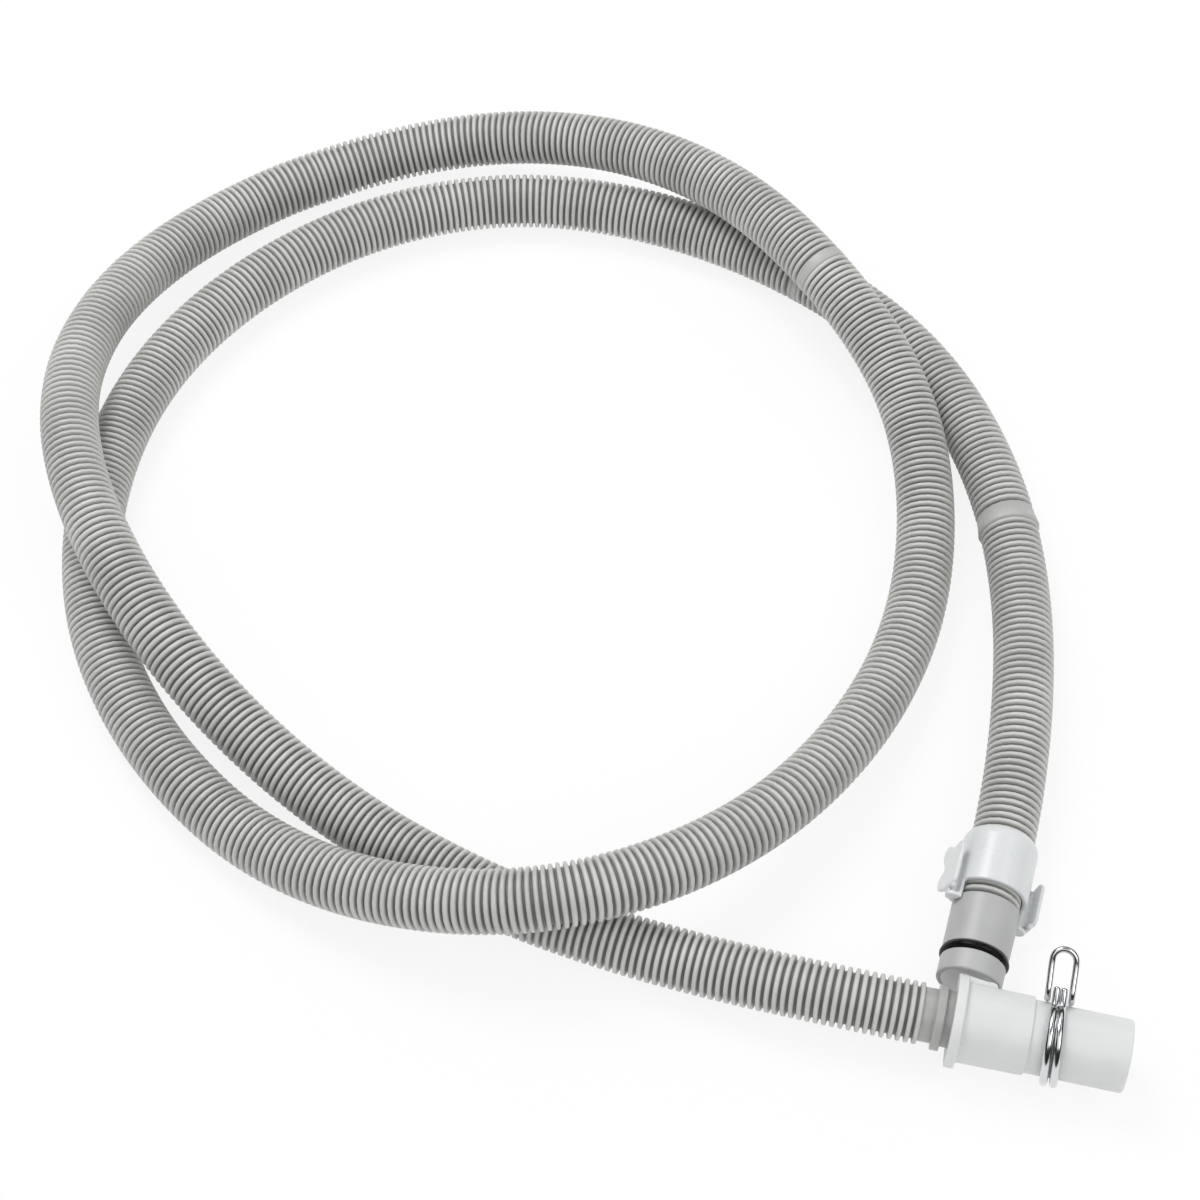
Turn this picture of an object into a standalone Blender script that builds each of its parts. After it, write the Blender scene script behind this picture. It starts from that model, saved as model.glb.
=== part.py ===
# Dishwasher drain hose: a long corrugated hose laid in loose loops, with a pump
# spigot held by a locking clip at one end, and a sink adapter with its spring
# clamp at the other. Sizes are written in millimetres and built in metres.

import math

import bmesh
import bpy
import numpy as np
from mathutils import Matrix, Vector

MM = 0.001
SEAT_GAP = 0.3            # air between pieces that touch
ROUND_STEPS = 48          # facets round a turned piece
LAY_SHIFT = (0.46, -0.03)  # brings the middle of the whole over the origin

# Hose
HOSE_RADIUS = 12.5
HOSE_END_SHARE = 0.94     # the hose is a little slimmer where it meets the tail cuff
HOSE_SLIM_LENGTH = 350.0
HOSE_POINTS = 78
CLIP_STRAIGHT = 8.0       # straight hose past the clip
CUFF_STRAIGHT = 34.0      # straight hose before the tail cuff

# Pump spigot, measured along its axis from its mouth
SPIGOT_HEADING = 17.0     # degrees from +Y towards +X, from the mouth to the hose
SPIGOT_MOUTH = (160.8, -204.2)
SPIGOT_RADIUS = 13.2
BARREL_DRAFT = 0.3        # the barrel is this much slimmer at the seal
NOSE_RADIUS = 12.6
NOSE_LENGTH = 8.6
BARREL_LENGTH = 21.0
SPIGOT_BORE = 9.0
MOUTH_BORE = 10.6
MOUTH_DEPTH = 6.4
EDGE_ROUND = 0.9

# O-ring
SEAL_SECTION = 1.5        # radius of the rubber
SEAL_PROUD = 0.9          # how far it stands out of the spigot

# Locking clip
CLIP_WALL = 2.1
CLIP_RING_LENGTH = 25.0
CLIP_WINDOW = 4.9         # open gap between the ring and the spigot's end
CLIP_LEG_WIDTH = 7.0
CLIP_LEG_LAP = 3.0        # how far a leg reaches over the spigot
CLIP_ENTRY_TAPER = 3.4
CLIP_ROLL = 28.0          # degrees that the clip is turned about the hose
LEVER_REACH = 19.8        # from the axis to the outside of a squeeze pad
PAD_THICKNESS = 1.5
PAD_LENGTH = 19.2
PAD_HALF_WIDTH = 6.4
PAD_OFFSET = 0.2          # from the spigot's end to the near edge of a pad
WEB_THICKNESS = 1.8
FOOT_HEIGHT = 3.6
FOOT_THICKNESS = 1.2

# Sink adapter, measured along its axis from its flange
ADAPTER_HEADING = -13.0   # degrees from +X towards +Y, from the flange to the tail
ADAPTER_FLANGE = (152.8, -220.1)
FLANGE_RADIUS = 17.6
FLANGE_THICKNESS = 3.7
BODY_RADIUS = 15.1
BODY_DRAFT = 0.35
BODY_END = 28.8
TAIL_RADIUS = 13.7
ADAPTER_LENGTH = 65.6
TAIL_ROUND = 1.6
TAIL_WALL = 2.5
LUG_ANGLE = 27.0          # degrees above level, on the far side
LUG_LENGTH = 11.6
LUG_WIDTH = 6.5
LUG_RISE = 1.5            # of the lobe at its end, above the body

# Tail cuff on the hose's end
CUFF_RADIUS = 10.2
CUFF_LENGTH = 5.0
COLLAR_RADIUS = 12.5
COLLAR_THICKNESS = 3.3
NECK_RADIUS = 10.6
NECK_SHOWN = 3.0
NECK_SEATED = 14.0
CUFF_WALL = 2.1

# Spring clamp
WIRE_RADIUS = 1.2
CLAMP_LEAN = 0.09         # how far the clamp leans towards the flange for its height
CLAMP_PLACE = 38.2        # from the flange to the middle of the two turns
TURN_SPREAD_TIP = 1.35
TURN_SPREAD_FRONT = 2.05
TURN_SPREAD_LOOP = 4.4
TIP_ANGLE = 28.0          # degrees from the top towards the far side
TIP_REACH = 20.6
LOOP_ANGLE = 52.0
BEND_START = 0.6          # how far the wire stands off the turn as it bends outwards
BEND_RISE = 2.4
LOOP_REACH = 34.6

# The hose's free run on the floor, from the clip to the tail cuff
FREE_ROUTE = [
    (193.5, -80, 15.0),
    (198.5, -13, 12.5),
    (188.5, 54, 12.5),
    (159.5, 114, 12.5),
    (111.5, 160, 12.5),
    (52.5, 191, 12.5),
    (-13.5, 204, 12.5),
    (-78.5, 191, 12.5),
    (-134.5, 155, 12.5),
    (-175.5, 102, 12.5),
    (-194.5, 38, 12.5),
    (-190.5, -29, 12.5),
    (-163.5, -90, 12.5),
    (-118.5, -139, 13.5),
    (-61.5, -171, 26.0),
    (3.5, -180, 39.0),
    (64.5, -156, 33.5),
    (112.5, -111, 21.5),
    (146.5, -53, 13.5),
    (161.5, 12, 14.0),
    (154.5, 77, 25.0),
    (122.5, 135, 37.5),
    (80.5, 186, 38.5),
    (24.5, 223, 31.0),
    (-39.5, 236, 20.5),
    (-104.5, 223, 13.0),
    (-160.5, 187, 14.0),
    (-197.5, 132, 24.0),
    (-208.5, 68, 35.0),
    (-192.5, 3, 39.0),
    (-159.5, -54, 33.0),
    (-114.5, -102, 19.5),
    (-61.5, -142, 12.5),
    (-1.5, -174, 12.5),
    (61.5, -196, 13.5),
]

# Sizes that follow from the ones above
SPIGOT_LENGTH = NOSE_LENGTH + 2 * SEAL_SECTION + 2 * SEAT_GAP + BARREL_LENGTH
SEAL_RADIUS = NOSE_RADIUS + SEAL_PROUD - SEAL_SECTION
CLIP_BORE = HOSE_RADIUS + SEAT_GAP
CLIP_RADIUS = CLIP_BORE + CLIP_WALL
LEG_BORE = SPIGOT_RADIUS + SEAT_GAP
CLIP_ROLL_ANGLE = math.radians(CLIP_ROLL)
PAD_LOW = LEVER_REACH * math.sin(CLIP_ROLL_ANGLE) + PAD_HALF_WIDTH * math.cos(CLIP_ROLL_ANGLE)
SPIGOT_HEIGHT = max(PAD_LOW, CLIP_RADIUS)
ADAPTER_BORE = NECK_RADIUS + SEAT_GAP
TAIL_BORE = TAIL_RADIUS - TAIL_WALL
TURN_RADIUS = TAIL_RADIUS + SEAT_GAP + WIRE_RADIUS


def clear_scene():
    for old in list(bpy.data.objects):
        bpy.data.objects.remove(old, do_unlink=True)


def new_collection(name):
    collection = bpy.data.collections.new(name)
    bpy.context.scene.collection.children.link(collection)
    return collection


def plastic(name, colour, roughness, metallic=0.0):
    material = bpy.data.materials.new(name)
    material.use_nodes = True
    shader = material.node_tree.nodes["Principled BSDF"]
    shader.inputs["Base Color"].default_value = (*colour, 1.0)
    shader.inputs["Roughness"].default_value = roughness
    shader.inputs["Metallic"].default_value = metallic
    return material


def end_frame(floor_point, height, direction):
    """Frame with +Z along the fitting, +Y up and the origin on its end face."""
    along = Vector(direction).normalized()
    up = Vector((0.0, 0.0, 1.0))
    side = up.cross(along)
    frame = Matrix((side, up, along)).transposed().to_4x4()
    frame.translation = (Vector((*floor_point, height)) + Vector((*LAY_SHIFT, 0.0))) * MM
    return frame


def place(name, mesh, frame, material, collection):
    made = bpy.data.objects.new(name, mesh)
    collection.objects.link(made)
    made.matrix_world = frame
    mesh.materials.clear()
    mesh.materials.append(material)
    return made


def hide_tool(made):
    made.hide_render = True
    made.display_type = "WIRE"
    return made


def turned(name, outline, frame, material, collection):
    """A closed outline of (radius, place along the axis), turned about the axis."""
    mesh = bpy.data.meshes.new(name)
    points = [(radius * MM, 0.0, along * MM) for radius, along in outline]
    edges = [(i, (i + 1) % len(points)) for i in range(len(points))]
    mesh.from_pydata(points, edges, [])
    made = place(name, mesh, frame, material, collection)
    screw = made.modifiers.new("Turn", "SCREW")
    screw.axis = "Z"
    screw.angle = 2 * math.pi
    screw.steps = ROUND_STEPS
    screw.render_steps = ROUND_STEPS
    screw.use_merge_vertices = True
    screw.merge_threshold = 0.00001
    screw.use_smooth_shade = True
    return made


def corner_arc(centre, radius, start, stop, steps=4):
    """Points of a rounded corner in the (radius, along) plane."""
    angles = np.radians(np.linspace(start, stop, steps))
    return [(centre[0] + radius * math.cos(a), centre[1] + radius * math.sin(a)) for a in angles]


def block_mesh(name, low, high):
    """A box between two corners, in millimetres."""
    shape = bmesh.new()
    bmesh.ops.create_cube(shape, size=1.0)
    size = Vector(high) - Vector(low)
    middle = (Vector(high) + Vector(low)) / 2
    bmesh.ops.scale(shape, vec=size * MM, verts=shape.verts)
    bmesh.ops.translate(shape, vec=middle * MM, verts=shape.verts)
    mesh = bpy.data.meshes.new(name)
    shape.to_mesh(mesh)
    shape.free()
    return mesh


def plate_mesh(name, outline, thickness):
    """A flat plate in its own XY plane, from an outline in millimetres."""
    curve = bpy.data.curves.new(name, "CURVE")
    curve.dimensions = "2D"
    curve.fill_mode = "BOTH"
    curve.extrude = thickness * MM / 2
    spline = curve.splines.new("POLY")
    spline.points.add(len(outline) - 1)
    for point, (x, y) in zip(spline.points, outline):
        point.co = (x * MM, y * MM, 0.0, 1.0)
    spline.use_cyclic_u = True
    return curve_to_mesh(name, curve)


def curve_to_mesh(name, curve):
    carrier = bpy.data.objects.new(name, curve)
    bpy.context.scene.collection.objects.link(carrier)
    bpy.context.view_layer.update()
    seen = carrier.evaluated_get(bpy.context.evaluated_depsgraph_get())
    mesh = bpy.data.meshes.new_from_object(seen)
    bpy.data.objects.remove(carrier, do_unlink=True)
    shape = bmesh.new()
    shape.from_mesh(mesh)
    bmesh.ops.remove_doubles(shape, verts=shape.verts, dist=0.00001)
    bmesh.ops.recalc_face_normals(shape, faces=shape.faces)
    shape.to_mesh(mesh)
    shape.free()
    return mesh


def join_or_cut(made, tool, operation):
    change = made.modifiers.new(tool.name, "BOOLEAN")
    change.operation = operation
    change.solver = "EXACT"
    change.object = tool


def wire(name, points, radius, sides, material, collection, shares=None):
    """A round wire or tube through its points, in metres."""
    curve = bpy.data.curves.new(name, "CURVE")
    curve.dimensions = "3D"
    curve.bevel_depth = radius * MM
    curve.bevel_resolution = sides
    curve.use_fill_caps = True
    spline = curve.splines.new("POLY")
    spline.points.add(len(points) - 1)
    for index, (point, position) in enumerate(zip(spline.points, points)):
        point.co = (*position, 1.0)
        point.radius = 1.0 if shares is None else shares[index]
    made = bpy.data.objects.new(name, curve)
    collection.objects.link(made)
    curve.materials.append(material)
    return made


def smooth_run(points, count):
    """Points spaced evenly along the natural cubic spline through the given points."""
    points = np.array(points, dtype=float)
    steps = np.linalg.norm(np.diff(points, axis=0), axis=1)
    total = len(points)
    system = np.eye(total)
    right = np.zeros((total, 3))
    for i in range(1, total - 1):
        system[i, i - 1] = steps[i - 1]
        system[i, i] = 2 * (steps[i - 1] + steps[i])
        system[i, i + 1] = steps[i]
        right[i] = 6 * ((points[i + 1] - points[i]) / steps[i] - (points[i] - points[i - 1]) / steps[i - 1])
    bend = np.linalg.solve(system, right)
    dense = []
    for i in range(total - 1):
        for t in np.linspace(0.0, 1.0, 20, endpoint=False):
            s = 1.0 - t
            lift = ((s ** 3 - s) * bend[i] + (t ** 3 - t) * bend[i + 1]) * steps[i] ** 2 / 6
            dense.append(s * points[i] + t * points[i + 1] + lift)
    dense.append(points[-1])
    dense = np.array(dense)
    travelled = np.concatenate([[0.0], np.cumsum(np.linalg.norm(np.diff(dense, axis=0), axis=1))])
    wanted = np.linspace(0.0, travelled[-1], count)
    return np.column_stack([np.interp(wanted, travelled, dense[:, k]) for k in range(3)]), wanted


def make_hose(spigot, adapter, material, collection):
    hose_start = spigot @ Vector((0, 0, (SPIGOT_LENGTH + SEAT_GAP) * MM))
    past_clip = SPIGOT_LENGTH + CLIP_WINDOW + CLIP_RING_LENGTH + CLIP_STRAIGHT
    clip_exit = spigot @ Vector((0, 0, past_clip * MM))
    hose_end_place = NECK_SHOWN + COLLAR_THICKNESS + CUFF_LENGTH + SEAT_GAP
    cuff_entry = adapter @ Vector((0, 0, -(hose_end_place + CUFF_STRAIGHT) * MM))
    hose_end = adapter @ Vector((0, 0, -hose_end_place * MM))
    free_run = [(Vector(point) + Vector((*LAY_SHIFT, 0.0))) * MM for point in FREE_ROUTE]
    run, travelled = smooth_run([hose_start, clip_exit, *free_run, cuff_entry, hose_end], HOSE_POINTS)
    run[:, 2] = np.maximum(run[:, 2], HOSE_RADIUS * MM)
    left = (travelled[-1] - travelled) / (HOSE_SLIM_LENGTH * MM)
    shares = 1.0 - (1.0 - HOSE_END_SHARE) * np.clip(1.0 - left, 0.0, 1.0)
    return wire("drain_hose", run, HOSE_RADIUS, 4, material, collection, shares)


def make_spigot(frame, material, collection):
    nose_end = NOSE_LENGTH
    barrel_start = SPIGOT_LENGTH - BARREL_LENGTH
    groove = SEAL_RADIUS - SEAL_SECTION - SEAT_GAP
    inner_round = EDGE_ROUND / 2
    outline = [(SPIGOT_BORE, SPIGOT_LENGTH)]
    outline += corner_arc((SPIGOT_RADIUS - inner_round, SPIGOT_LENGTH - inner_round), inner_round, 90, 0, 3)
    outline += [(SPIGOT_RADIUS - BARREL_DRAFT, barrel_start), (groove, barrel_start)]
    outline += [(groove, nose_end), (NOSE_RADIUS, nose_end)]
    outline += corner_arc((NOSE_RADIUS - EDGE_ROUND, EDGE_ROUND), EDGE_ROUND, 0, -90)
    outline += [(MOUTH_BORE + inner_round, 0.0), (MOUTH_BORE, inner_round)]
    outline += [(MOUTH_BORE, MOUTH_DEPTH), (SPIGOT_BORE, MOUTH_DEPTH + MOUTH_BORE - SPIGOT_BORE)]
    return turned("pump_spigot", outline, frame, material, collection)


def make_seal(frame, material, collection):
    place_along = NOSE_LENGTH + SEAT_GAP + SEAL_SECTION
    section = corner_arc((SEAL_RADIUS, place_along), SEAL_SECTION, 360, 30, 12)
    return turned("o_ring", section, frame, material, collection)


def pad_outline():
    """A squeeze pad seen from outside: two lobes, a waist and a broad heel."""
    wide = PAD_HALF_WIDTH
    far = PAD_LENGTH
    half = [(0.0, 0.0), (0.52 * wide, 0.01 * far), (0.84 * wide, 0.05 * far), (wide, 0.14 * far)]
    half += [(wide, 0.24 * far), (0.90 * wide, 0.38 * far), (0.84 * wide, 0.52 * far)]
    half += [(0.90 * wide, 0.68 * far), (wide, 0.80 * far), (0.96 * wide, 0.91 * far)]
    half += [(0.74 * wide, 0.99 * far), (0.48 * wide, far), (0.24 * wide, 0.93 * far), (0.0, 0.88 * far)]
    mirrored = [(-x, y) for x, y in reversed(half[1:-1])]
    return half + mirrored


def make_clip(frame, material, collection, tools):
    """One ring round the hose, two legs over the spigot, and a squeeze lever on each leg."""
    clip_frame = frame @ Matrix.Translation((0, 0, SPIGOT_LENGTH * MM)) @ Matrix.Rotation(CLIP_ROLL_ANGLE, 4, "Z")
    ring_start = CLIP_WINDOW
    ring_end = CLIP_WINDOW + CLIP_RING_LENGTH
    lip = CLIP_BORE + 0.35 * CLIP_WALL
    outline = [(CLIP_BORE, ring_end), (lip, ring_end)]
    outline += [(CLIP_RADIUS - 0.22 * CLIP_WALL, ring_end - 0.4 * CLIP_ENTRY_TAPER)]
    outline += [(CLIP_RADIUS, ring_end - CLIP_ENTRY_TAPER), (CLIP_RADIUS, -CLIP_LEG_LAP)]
    outline += [(LEG_BORE, -CLIP_LEG_LAP), (LEG_BORE, ring_start + 0.3), (CLIP_BORE, ring_start + 1.0)]
    made = turned("locking_clip", outline, clip_frame, material, collection)
    for side in (1, -1):
        low = (-2 * CLIP_RADIUS, side * CLIP_LEG_WIDTH / 2, -2 * CLIP_LEG_LAP)
        high = (2 * CLIP_RADIUS, side * 2 * CLIP_RADIUS, ring_start)
        low, high = tuple(map(min, low, high)), tuple(map(max, low, high))
        window = place("clip_window_cut", block_mesh("clip_window_cut", low, high), clip_frame, material, tools)
        join_or_cut(made, hide_tool(window), "DIFFERENCE")
    for turn in (0.0, math.pi):
        lever_frame = clip_frame @ Matrix.Rotation(turn, 4, "Z")
        for tool in lever_forms(lever_frame, material, tools):
            join_or_cut(made, hide_tool(tool), "UNION")
    return made


def lever_forms(frame, material, tools):
    """The web, pad and foot of the lever that stands on the leg at +X."""
    root = (LEG_BORE + CLIP_RADIUS) / 2
    pad_inside = LEVER_REACH - PAD_THICKNESS
    pad_far = PAD_OFFSET + PAD_LENGTH
    web_far = pad_far - 0.16 * PAD_LENGTH
    sunk = 0.2 * PAD_THICKNESS
    web = [(root, FOOT_THICKNESS - CLIP_LEG_LAP), (root + 0.4 * FOOT_HEIGHT, FOOT_THICKNESS - CLIP_LEG_LAP)]
    web += [(pad_inside + sunk, PAD_OFFSET + 0.06 * PAD_LENGTH), (pad_inside + sunk, web_far)]
    web += [(root, web_far - 1.4 * (pad_inside - root))]
    upright = frame @ Matrix.Rotation(math.pi / 2, 4, "X")
    web_form = place("lever_web", plate_mesh("lever_web", web, WEB_THICKNESS), upright, material, tools)
    facing = Matrix(((0, 0, 1, 0), (1, 0, 0, 0), (0, 1, 0, 0), (0, 0, 0, 1)))
    pad_middle = Matrix.Translation(((LEVER_REACH - PAD_THICKNESS / 2) * MM, 0, PAD_OFFSET * MM))
    pad_mesh = plate_mesh("lever_pad", pad_outline(), PAD_THICKNESS)
    pad_form = place("lever_pad", pad_mesh, frame @ pad_middle @ facing, material, tools)
    foot_low = (root, -CLIP_LEG_WIDTH / 2 + 0.1, -CLIP_LEG_LAP + 0.05)
    foot_high = (CLIP_RADIUS + FOOT_HEIGHT, CLIP_LEG_WIDTH / 2 - 0.1, -CLIP_LEG_LAP + FOOT_THICKNESS)
    foot_form = place("lever_foot", block_mesh("lever_foot", foot_low, foot_high), frame, material, tools)
    return [web_form, pad_form, foot_form]


def make_cuff(frame, material, collection):
    neck_start = -NECK_SHOWN
    collar_start = neck_start - COLLAR_THICKNESS
    cuff_start = collar_start - CUFF_LENGTH
    bevel = 0.4
    bore = NECK_RADIUS - CUFF_WALL
    outline = [(bore, NECK_SEATED), (NECK_RADIUS - bevel, NECK_SEATED), (NECK_RADIUS, NECK_SEATED - bevel)]
    outline += [(NECK_RADIUS, neck_start), (COLLAR_RADIUS - bevel, neck_start)]
    outline += [(COLLAR_RADIUS, neck_start - bevel), (COLLAR_RADIUS, collar_start + bevel)]
    outline += [(COLLAR_RADIUS - bevel, collar_start), (CUFF_RADIUS, collar_start)]
    outline += [(CUFF_RADIUS, cuff_start), (bore, cuff_start)]
    return turned("tail_cuff", outline, frame, material, collection)


def lug_outline():
    """The lug from the side: a rib that falls from the flange's rim and ends in a round lobe."""
    start = FLANGE_THICKNESS - 0.6
    lobe = BODY_RADIUS + LUG_RISE
    inside = BODY_RADIUS - 1.0
    outline = [(inside, start), (FLANGE_RADIUS - 0.3, start), (FLANGE_RADIUS - 0.4, FLANGE_THICKNESS + 0.4)]
    outline += [(lobe - 0.1, start + 0.62 * LUG_LENGTH), (lobe - 0.2, start + 0.70 * LUG_LENGTH)]
    outline += [(lobe, start + 0.76 * LUG_LENGTH), (lobe, start + 0.86 * LUG_LENGTH)]
    outline += [(lobe - 0.5, start + 0.95 * LUG_LENGTH), (BODY_RADIUS, start + LUG_LENGTH)]
    outline += [(inside, start + LUG_LENGTH)]
    return outline


def make_adapter(frame, material, collection, tools):
    bevel = 0.5
    shoulder = 1.1
    end = ADAPTER_LENGTH
    body_far = BODY_RADIUS - BODY_DRAFT
    outline = corner_arc((TAIL_RADIUS - TAIL_ROUND, end - TAIL_ROUND), TAIL_ROUND, 90, 0, 6)
    outline += [(TAIL_RADIUS, BODY_END + 0.2), (body_far - shoulder + 0.2, BODY_END)]
    outline += corner_arc((body_far - shoulder, BODY_END - shoulder), shoulder, 90, 0)
    outline += [(BODY_RADIUS, FLANGE_THICKNESS), (FLANGE_RADIUS - bevel, FLANGE_THICKNESS)]
    outline += [(FLANGE_RADIUS, FLANGE_THICKNESS - bevel), (FLANGE_RADIUS, bevel), (FLANGE_RADIUS - bevel, 0.0)]
    outline += [(ADAPTER_BORE, 0.0), (ADAPTER_BORE, NECK_SEATED + 1.0)]
    outline += [(TAIL_BORE, NECK_SEATED + 1.6), (TAIL_BORE, end)]
    made = turned("sink_adapter", outline, frame, material, collection)
    lug_frame = frame @ Matrix.Rotation(math.radians(LUG_ANGLE), 4, "Z") @ Matrix.Rotation(math.pi / 2, 4, "X")
    lug = place("adapter_lug", plate_mesh("adapter_lug", lug_outline(), LUG_WIDTH), lug_frame, material, tools)
    soften = lug.modifiers.new("Rounded edges", "BEVEL")
    soften.width = 0.5 * MM
    soften.segments = 2
    soften.limit_method = "ANGLE"
    join_or_cut(made, hide_tool(lug), "UNION")
    return made


def clamp_point(angle, radius, along):
    """A point round the adapter: the angle runs from the top towards the far side."""
    turn = math.radians(angle)
    return (radius * math.sin(turn), radius * math.cos(turn), along)


def clamp_half():
    """Half of the wire, from its tip round the front, below and up the far side to the loop."""
    half = [clamp_point(TIP_ANGLE + 14.0, TIP_REACH, TURN_SPREAD_TIP)]
    half += [clamp_point(TIP_ANGLE + 9.0, TURN_RADIUS + BEND_RISE, TURN_SPREAD_TIP)]
    half += [clamp_point(TIP_ANGLE + 3.5, TURN_RADIUS + BEND_START, TURN_SPREAD_TIP)]
    sweep = 360.0 - LOOP_ANGLE + TIP_ANGLE
    steps = 40
    for i in range(steps + 1):
        share = i / steps
        early = min(share / 0.25, 1.0)
        late = max((share - 0.55) / 0.45, 0.0)
        spread = TURN_SPREAD_TIP + (TURN_SPREAD_FRONT - TURN_SPREAD_TIP) * early * (2.0 - early)
        spread += (TURN_SPREAD_LOOP - TURN_SPREAD_FRONT) * late * late * (3.0 - 2.0 * late)
        half.append(clamp_point(TIP_ANGLE - sweep * share, TURN_RADIUS, spread))
    half += [clamp_point(LOOP_ANGLE - 3.5, TURN_RADIUS + BEND_START, TURN_SPREAD_LOOP)]
    half += [clamp_point(LOOP_ANGLE - 6.0, TURN_RADIUS + BEND_RISE, TURN_SPREAD_LOOP)]
    bend_start = LOOP_REACH - TURN_SPREAD_LOOP
    half += [clamp_point(LOOP_ANGLE - 3.0, (TURN_RADIUS + bend_start) / 2, TURN_SPREAD_LOOP)]
    for i in range(9):
        turn = math.radians(90.0 * i / 8)
        reach = bend_start + TURN_SPREAD_LOOP * math.sin(turn)
        half.append(clamp_point(LOOP_ANGLE, reach, TURN_SPREAD_LOOP * math.cos(turn)))
    return half


def make_clamp(frame, material, collection):
    half = clamp_half()
    other = [(x, y, -z) for x, y, z in reversed(half[:-1])]
    middle = Vector((0, 0, CLAMP_PLACE))
    leaned = [Vector((x, y, z - CLAMP_LEAN * y)) for x, y, z in half + other]
    points = [frame @ ((point + middle) * MM) for point in leaned]
    return wire("spring_clamp", points, WIRE_RADIUS, 2, material, collection)


def main():
    clear_scene()
    parts = new_collection("dishwasher_drain_hose")
    tools = new_collection("cutters")
    grey = plastic("hose_grey", (0.42, 0.42, 0.40), 0.45)
    spigot_grey = plastic("spigot_grey", (0.52, 0.53, 0.53), 0.4)
    clip_white = plastic("clip_white", (0.80, 0.82, 0.82), 0.35)
    milky = plastic("milky_white", (0.82, 0.84, 0.84), 0.45)
    rubber = plastic("seal_rubber", (0.02, 0.02, 0.02), 0.4)
    chrome = plastic("clamp_chrome", (0.75, 0.76, 0.77), 0.15, 1.0)

    heading = math.radians(SPIGOT_HEADING)
    spigot_frame = end_frame(SPIGOT_MOUTH, SPIGOT_HEIGHT, (math.sin(heading), math.cos(heading), 0.0))
    heading = math.radians(ADAPTER_HEADING)
    adapter_frame = end_frame(ADAPTER_FLANGE, FLANGE_RADIUS, (math.cos(heading), math.sin(heading), 0.0))

    make_hose(spigot_frame, adapter_frame, grey, parts)
    make_spigot(spigot_frame, spigot_grey, parts)
    make_seal(spigot_frame, rubber, parts)
    make_clip(spigot_frame, clip_white, parts, tools)
    make_cuff(adapter_frame, grey, parts)
    make_adapter(adapter_frame, milky, parts, tools)
    make_clamp(adapter_frame, chrome, parts)


main()
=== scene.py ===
import math

import bmesh
import bpy
import numpy as np
from mathutils import Matrix, Vector


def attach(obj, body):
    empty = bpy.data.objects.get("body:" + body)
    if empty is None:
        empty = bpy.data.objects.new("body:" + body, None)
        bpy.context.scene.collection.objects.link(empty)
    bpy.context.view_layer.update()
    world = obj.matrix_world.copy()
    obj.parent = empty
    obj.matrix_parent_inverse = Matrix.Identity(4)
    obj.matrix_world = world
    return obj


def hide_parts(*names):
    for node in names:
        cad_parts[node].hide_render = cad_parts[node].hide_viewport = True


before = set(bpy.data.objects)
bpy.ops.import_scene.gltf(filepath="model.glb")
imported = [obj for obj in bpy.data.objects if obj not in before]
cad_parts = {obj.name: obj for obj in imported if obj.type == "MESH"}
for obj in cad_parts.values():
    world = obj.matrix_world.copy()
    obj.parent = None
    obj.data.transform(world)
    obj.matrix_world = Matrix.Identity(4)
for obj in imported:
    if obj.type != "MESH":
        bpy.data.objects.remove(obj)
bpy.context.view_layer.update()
mm = 0.001
print("stage: frame loaded")


# the camera of the photo
photoView = {"lens": 72.0, "sensor": 36.0, "tilt": 34.6, "place": (0.02216, -0.59963, 0.8435),
             "near": 0.02, "far": 30.0}


def makeCamera(view):
    data = bpy.data.cameras.new("photoCamera")
    data.lens = view["lens"]
    data.sensor_width = view["sensor"]
    data.clip_start = view["near"]
    data.clip_end = view["far"]
    camera = bpy.data.objects.new("photoCamera", data)
    bpy.context.scene.collection.objects.link(camera)
    camera.location = view["place"]
    camera.rotation_euler = (math.radians(view["tilt"]), 0.0, 0.0)
    bpy.context.scene.camera = camera


makeCamera(photoView)
print("stage: camera")


class Signal:
    # a socket that Python's own operators can work on
    def __init__(self, book, socket):
        self.book = book
        self.socket = socket

    def work(self, operation, first, second):
        return self.book.add("ShaderNodeMath", {"operation": operation}, {0: first, 1: second})

    def __mul__(self, other):
        return self.work("MULTIPLY", self, other)

    def __rmul__(self, other):
        return self.work("MULTIPLY", other, self)

    def most(self, other):
        return self.work("MAXIMUM", self, other)


class Book:
    # a node tree and what is added to it
    def __init__(self, tree, end):
        self.tree = tree
        self.end = tree.nodes.new(end)

    def show(self, signal):
        self.tree.links.new(signal.socket, self.end.inputs[0])

    def add(self, kind, settings=None, inputs=None, output=0):
        node = self.tree.nodes.new(kind)
        for key, value in (settings or {}).items():
            setattr(node, key, value)
        self.fill(node, inputs or {})
        return Signal(self, node.outputs[output])

    def fill(self, node, inputs):
        for key, value in inputs.items():
            if isinstance(value, Signal):
                self.tree.links.new(value.socket, node.inputs[key])
            elif isinstance(value, tuple) and node.inputs[key].type == "RGBA":
                node.inputs[key].default_value = (*value, 1.0)
            else:
                node.inputs[key].default_value = value


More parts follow.
